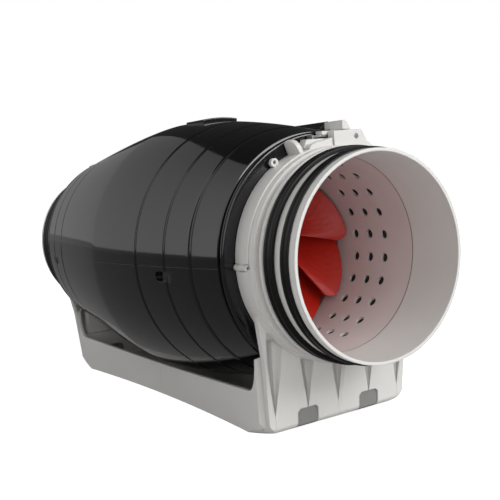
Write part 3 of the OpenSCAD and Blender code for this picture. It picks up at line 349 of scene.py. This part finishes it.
def skin_profile():
    """Closed section of a shell as (radius, y): outer skin with grooves, end faces, necks, inside."""
    start, end = BODY_START, BODY_HALF
    neck = NECK_START
    wall = SHELL_WALL
    ys = [start + RIM_LEN + (end - start - 2 * RIM_LEN) * i / OUTER_STEPS for i in range(OUTER_STEPS + 1)]
    for groove in GROOVES:
        centre = at(groove)
        ys = [y for y in ys if abs(y - centre) > 2 * GROOVE_HALF]
        ys += [centre + GROOVE_HALF * k for k in GROOVE_POINTS]
    outer = [(barrel_radius(y) - groove_depth(y), y) for y in sorted(ys)]
    inside = [end - wall - (end - start - 2 * wall) * i / INNER_STEPS for i in range(INNER_STEPS + 1)]
    front = rim_bead()
    back = mirrored(reversed(front))
    return ([(NECK_INNER, neck), (NECK_OUTER, neck), (NECK_OUTER, start)] + front + outer + back
            + [(NECK_OUTER, end), (NECK_OUTER, -neck), (NECK_INNER, -neck), (NECK_INNER, end - wall)]
            + [(barrel_radius(y) - wall, y) for y in inside] + [(NECK_INNER, start + wall)])


RECESSES = (107.0, 319.0)      # stations from the inlet rim, in millimetres
RECESS_LEN = 22.0 * MM
RECESS_HEIGHT = 6.5 * MM
RECESS_DEPTH = 1.2 * MM
RECESS_DROP = 6.5 * MM         # how far its middle lies under the seam
CUTTER_OVERSHOOT = 5 * MM


def recess_cutter(side, t):
    """Bar with round ends that lies where a recess is sunk in the lower shell's side."""
    end = RECESS_HEIGHT / 2
    reach = RECESS_LEN / 2 - end
    outline = []
    for centre, first in ((reach, -90), (-reach, 90)):
        for k in range(0, 181, 15):
            a = math.radians(first + k)
            y = at(t) + centre + end * math.cos(a)
            outline.append((y, AXIS_Z - RECESS_DROP + end * math.sin(a)))
    inner = side * (barrel_radius(at(t)) - RECESS_DEPTH)
    outer = side * (BELLY_R + CUTTER_OVERSHOOT)
    count = len(outline)
    verts = [(x, y, z) for x in (inner, outer) for y, z in outline]
    faces = [(k, (k + 1) % count, count + (k + 1) % count, count + k) for k in range(count)]
    faces += [tuple(range(count)), tuple(range(count, 2 * count))]
    return new_object("recess_cutter", verts, faces, MATERIALS["body_black"])


def cut_away(obj, cutter):
    """Takes a cutter's room out of an object and removes the cutter."""
    step = obj.modifiers.new("cut", "BOOLEAN")
    step.operation = "DIFFERENCE"
    step.solver = "EXACT"
    step.object = cutter
    graph = bpy.context.evaluated_depsgraph_get()
    shape = bpy.data.meshes.new_from_object(obj.evaluated_get(graph))
    obj.modifiers.clear()
    obj.data = shape
    shape.set_sharp_from_angle(angle=SMOOTH_ANGLE)
    bpy.data.objects.remove(cutter)


PAD_STATIONS = (165, 190)      # along the duct, in millimetres from the inlet rim
PAD_HALF_WIDTH = 14 * MM
PAD_HEIGHT = 1.3 * MM
PAD_ROOT = 2 * MM              # how far it reaches into the shell
PAD_CORNER = 0.6 * MM


def top_pad():
    """Low raised pad on the crown of the upper shell."""
    front, rear = (at(t) for t in PAD_STATIONS)
    top = BELLY_R + PAD_HEIGHT
    root = BELLY_R - PAD_ROOT
    half_angle = math.degrees(PAD_HALF_WIDTH / BELLY_R)
    profile = rounded([(root, front), (top, front), (top, rear), (root, rear)], PAD_CORNER)
    pad = lathe("shell_upper_pad", profile, MATERIALS["body_black"],
                90 - half_angle, 90 + half_angle, steps=24)
    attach(pad, "housing")
    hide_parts("shell_upper")


SEAM_HALF = 0.12 * MM


def body_skins():
    """Upper and lower shells as smooth skins, parted by a fine gap at axis height."""
    gap = math.degrees(SEAM_HALF / BELLY_R)
    profile = skin_profile()
    halves = (("shell_upper", gap, 180 - gap), ("shell_lower", 180 + gap, 360 - gap))
    for node, start, end in halves:
        skin = lathe(node + "_skin", profile, MATERIALS["body_black"], start, end, steps=120)
        if node == "shell_lower":
            for side in (-1, 1):
                for t in RECESSES:
                    cut_away(skin, recess_cutter(side, t))
        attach(skin, "housing")
        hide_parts(node)


# ---------------------------------------------------------------- seals


SEAL_WIDTH = 7.5 * MM
SEAL_BASE_R = 60.7 * MM
SPIGOT_R = 61.5 * MM
SEAL_CORNER = 0.7 * MM
SEALS = (("outer", 5.4, 1.2 * MM), ("inner", 19.0, 2.8 * MM))    # place, station, height of the lip


def seal_profile(t, lip):
    """Fat rounded lip seal with a fine groove round its top, as a closed (radius, y) section."""
    top = SPIGOT_R + lip
    shoulder = top - 0.5 * MM
    groove = top - 0.6 * MM
    front = at(t)
    rear = front + SEAL_WIDTH
    middle = front + SEAL_WIDTH / 2
    points = [(SEAL_BASE_R, front), (shoulder, front), (top, front + 1.0 * MM),
              (top, middle - 1.2 * MM), (groove, middle - 0.4 * MM),
              (groove, middle + 0.4 * MM), (top, middle + 1.2 * MM),
              (top, rear - 1.0 * MM), (shoulder, rear), (SEAL_BASE_R, rear)]
    return rounded(points, SEAL_CORNER)


def seals():
    """Two lip seals on each spigot."""
    for place, t, lip in SEALS:
        for side in ("front", "rear"):
            profile = seal_profile(t, lip)
            if side == "rear":
                profile = mirrored(profile)
            node = "seal_%s_%s" % (side, place)
            ring = lathe(node + "_lip", profile, MATERIALS["seal_rubber"])
            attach(ring, "housing")
            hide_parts(node)


GASKET_INNER = 59.45 * MM
GASKET_EDGE = 0.3 * MM         # width of the edge that shows in the duct
GASKET_BAND = 3.0 * MM


def gaskets():
    """Gasket rings whose inner edge shows as the fine dark line between spigot and liner."""
    low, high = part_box("gasket_front")
    outer, back = high.x, high.y
    front = back - GASKET_EDGE
    band = outer - GASKET_BAND
    profile = [(GASKET_INNER, front), (band, front), (band, low.y), (outer, low.y),
               (outer, back), (GASKET_INNER, back)]
    for side, section in (("front", profile), ("rear", mirrored(profile))):
        node = "gasket_" + side
        ring = lathe(node + "_ring", section, MATERIALS["seal_rubber"])
        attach(ring, "housing")
        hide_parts(node)


# ---------------------------------------------------------------- studio and camera

WORLD_SEEN = 1.0               # white, for the camera and through glass
WORLD_LIGHT = 0.24             # for all other rays, so this is what lights the fan
FLOOR_GLOW = 0.82              # for the camera and through glass, beside the light on the floor
FLOOR_MIRRORED = 0.2           # how bright gloss mirrors it
FLOOR_HALF = 6.0
DOME_R = 3.0
CARD_R = 3.1
LEFT_GLOW = (1.7, 0.25)        # strength at the two azimuths of LEFT_SPAN
LEFT_SPAN = (-62, 16)
FRONT_GLOW = 1.7
CARD_GLOW = 0.035
KEY_PLACE = (1.0, -2.4, 1.6)
KEY_SIZE = 1.6
KEY_POWER = 66
CAMERA_PLACE = (-0.31603, -0.56164, 0.16125)
CAMERA_TURN = (32.216, 5.540, -4.818)    # azimuth, tilt down and roll, in degrees
CAMERA_LENS = 61.03
WHITE = (1, 1, 1, 1)


def plain(name, colour, strength=0.0):
    """Matt material of one colour that may glow white, for what stands round the fan."""
    material = bpy.data.materials.new(name)
    material.use_nodes = True
    shader = material.node_tree.nodes["Principled BSDF"]
    shader.inputs["Base Color"].default_value = (*colour, 1)
    shader.inputs["Roughness"].default_value = 1.0
    shader.inputs["Specular IOR Level"].default_value = 0.0
    shader.inputs["Emission Color"].default_value = WHITE
    shader.inputs["Emission Strength"].default_value = strength
    return material


def ray_is(tree, *kinds):
    """1 for rays of the given kinds, as Light Path tells them, and 0 for the others."""
    path = tree.nodes.new("ShaderNodeLightPath")
    total = path.outputs[kinds[0]]
    for kind in kinds[1:]:
        step = tree.nodes.new("ShaderNodeMath")
        step.operation = "MAXIMUM"
        tree.links.new(total, step.inputs[0])
        tree.links.new(path.outputs[kind], step.inputs[1])
        total = step.outputs[0]
    return total


def dome_patch(name, az0, az1, el0, el1, radius, material, edge=None):
    """Part of a sphere round the fan; azimuth 0 is +Y and turns towards +X.

    edge gives the azimuth of the patch's right side at an elevation, where that isn't straight.
    """
    steps = 40
    verts, faces = [], []
    for j in range(steps + 1):
        height = el0 + (el1 - el0) * j / steps
        right = edge(height) if edge else az1
        el = math.radians(height)
        for i in range(steps + 1):
            az = math.radians(az0 + (right - az0) * i / steps)
            reach = radius * math.cos(el)
            verts.append((reach * math.sin(az), reach * math.cos(az), AXIS_Z + radius * math.sin(el)))
    row = steps + 1
    for j in range(steps):
        for i in range(steps):
            k = j * row + i
            faces.append((k, k + 1, k + row + 1, k + row))
    patch = new_object(name, verts, faces, material)
    patch.visible_camera = False
    patch.visible_shadow = False


def graded_panel(name, left, right, strong, weak):
    """Panel whose glow falls evenly in stops from strong at the azimuth left to weak at right."""
    material = bpy.data.materials.new(name)
    material.use_nodes = True
    tree = material.node_tree
    tree.nodes.remove(tree.nodes["Principled BSDF"])
    place = tree.nodes.new("ShaderNodeTexCoord")
    parts = tree.nodes.new("ShaderNodeSeparateXYZ")
    tree.links.new(place.outputs["Object"], parts.inputs[0])
    azimuth = tree.nodes.new("ShaderNodeMath")
    azimuth.operation = "ARCTAN2"
    tree.links.new(parts.outputs["X"], azimuth.inputs[0])
    tree.links.new(parts.outputs["Y"], azimuth.inputs[1])
    stops = tree.nodes.new("ShaderNodeMapRange")
    stops.inputs["From Min"].default_value = math.radians(left)
    stops.inputs["From Max"].default_value = math.radians(right)
    stops.inputs["To Min"].default_value = math.log2(strong)
    stops.inputs["To Max"].default_value = math.log2(weak)
    tree.links.new(azimuth.outputs[0], stops.inputs["Value"])
    power = tree.nodes.new("ShaderNodeMath")
    power.operation = "POWER"
    power.inputs[0].default_value = 2.0
    tree.links.new(stops.outputs["Result"], power.inputs[1])
    glow = tree.nodes.new("ShaderNodeEmission")
    tree.links.new(power.outputs[0], glow.inputs["Strength"])
    tree.links.new(glow.outputs[0], tree.nodes["Material Output"].inputs["Surface"])
    return material


def world():
    """Surroundings that are white where they are seen directly and dim where they give light."""
    scene_world = bpy.data.worlds.new("studio")
    bpy.context.scene.world = scene_world
    scene_world.use_nodes = True
    tree = scene_world.node_tree
    background = tree.nodes["Background"]
    mix = tree.nodes.new("ShaderNodeMapRange")
    mix.inputs["To Min"].default_value = WORLD_LIGHT
    mix.inputs["To Max"].default_value = WORLD_SEEN
    tree.links.new(ray_is(tree, "Is Camera Ray", "Is Transmission Ray"), mix.inputs["Value"])
    tree.links.new(mix.outputs["Result"], background.inputs["Strength"])
    background.inputs["Color"].default_value = WHITE


def floor():
    """White ground that keeps the fan's shadow; glossy surfaces mirror it as a dim grey."""
    material = plain("floor_white", (0.8, 0.8, 0.8))
    tree = material.node_tree
    shader = tree.nodes["Principled BSDF"]
    glow = tree.nodes.new("ShaderNodeMath")
    glow.operation = "MULTIPLY"
    glow.inputs[1].default_value = FLOOR_GLOW
    tree.links.new(ray_is(tree, "Is Camera Ray", "Is Transmission Ray"), glow.inputs[0])
    tree.links.new(glow.outputs[0], shader.inputs["Emission Strength"])
    mirrored_floor = tree.nodes.new("ShaderNodeEmission")
    mirrored_floor.inputs["Strength"].default_value = FLOOR_MIRRORED
    mix = tree.nodes.new("ShaderNodeMixShader")
    tree.links.new(ray_is(tree, "Is Glossy Ray"), mix.inputs[0])
    tree.links.new(shader.outputs[0], mix.inputs[1])
    tree.links.new(mirrored_floor.outputs[0], mix.inputs[2])
    tree.links.new(mix.outputs[0], tree.nodes["Material Output"].inputs["Surface"])
    corners = [(x * FLOOR_HALF, y * FLOOR_HALF, 0) for x, y in ((-1, -1), (1, -1), (1, 1), (-1, 1))]
    ground = new_object("floor", corners, [(0, 1, 2, 3)], material)


def area_light(name, place, target, size, power):
    """Square soft light that points at target and isn't seen by the camera itself."""
    data = bpy.data.lights.new(name, "AREA")
    data.shape = "SQUARE"
    data.size = size
    data.energy = power
    lamp = bpy.data.objects.new(name, data)
    bpy.context.scene.collection.objects.link(lamp)
    lamp.location = place
    lamp.rotation_euler = (Vector(target) - Vector(place)).to_track_quat("-Z", "Y").to_euler()
    lamp.visible_camera = False


def softbox_edge(elevation):
    """Azimuth of the left softbox's right side, which leans in towards the top."""
    foot, top, lean_from, lean_over, curve = 18.5, -6.5, 18.0, 32.0, 2.6
    share = max(0.0, elevation - lean_from) / lean_over
    return foot + (top - foot) * share ** curve


def studio():
    """Softboxes and dark cards that the gloss mirrors, one lamp, floor and surroundings."""
    world()
    floor()
    left = graded_panel("softbox_left", *LEFT_SPAN, *LEFT_GLOW)
    dome_patch("softbox_left", -64, 18, 1, 58, DOME_R, left, softbox_edge)
    dome_patch("softbox_front", -190, -125, 2, 48, DOME_R, plain("softbox_front", (0, 0, 0), FRONT_GLOW))
    card = plain("black_card", (0.004, 0.004, 0.004), CARD_GLOW)
    dome_patch("card_right", -10, 120, 8, 62, CARD_R, card)
    dome_patch("card_top", 0, 360, 60, 90, CARD_R, card)
    area_light("key", KEY_PLACE, (0, 0, AXIS_Z), KEY_SIZE, KEY_POWER)


def camera():
    """Camera at the photograph's viewing angle."""
    azimuth, drop, roll = (math.radians(a) for a in CAMERA_TURN)
    level_reach = math.cos(drop)
    forward = Vector((math.sin(azimuth) * level_reach, math.cos(azimuth) * level_reach, -math.sin(drop)))
    level = forward.cross(Vector((0, 0, 1))).normalized()
    above = level.cross(forward)
    right = level * math.cos(roll) + above * math.sin(roll)
    up = above * math.cos(roll) - level * math.sin(roll)
    data = bpy.data.cameras.new("camera")
    data.sensor_width = 36.0
    data.lens = CAMERA_LENS
    view = bpy.data.objects.new("camera", data)
    bpy.context.scene.collection.objects.link(view)
    turn = Matrix((right, up, -forward)).transposed().to_4x4()
    view.matrix_world = Matrix.Translation(CAMERA_PLACE) @ turn
    bpy.context.scene.camera = view


def main():
    camera()
    finish_cad_nodes()
    body_skins()
    top_pad()
    seals()
    gaskets()
    studio()
    bpy.context.scene.view_settings.view_transform = "Standard"


main()
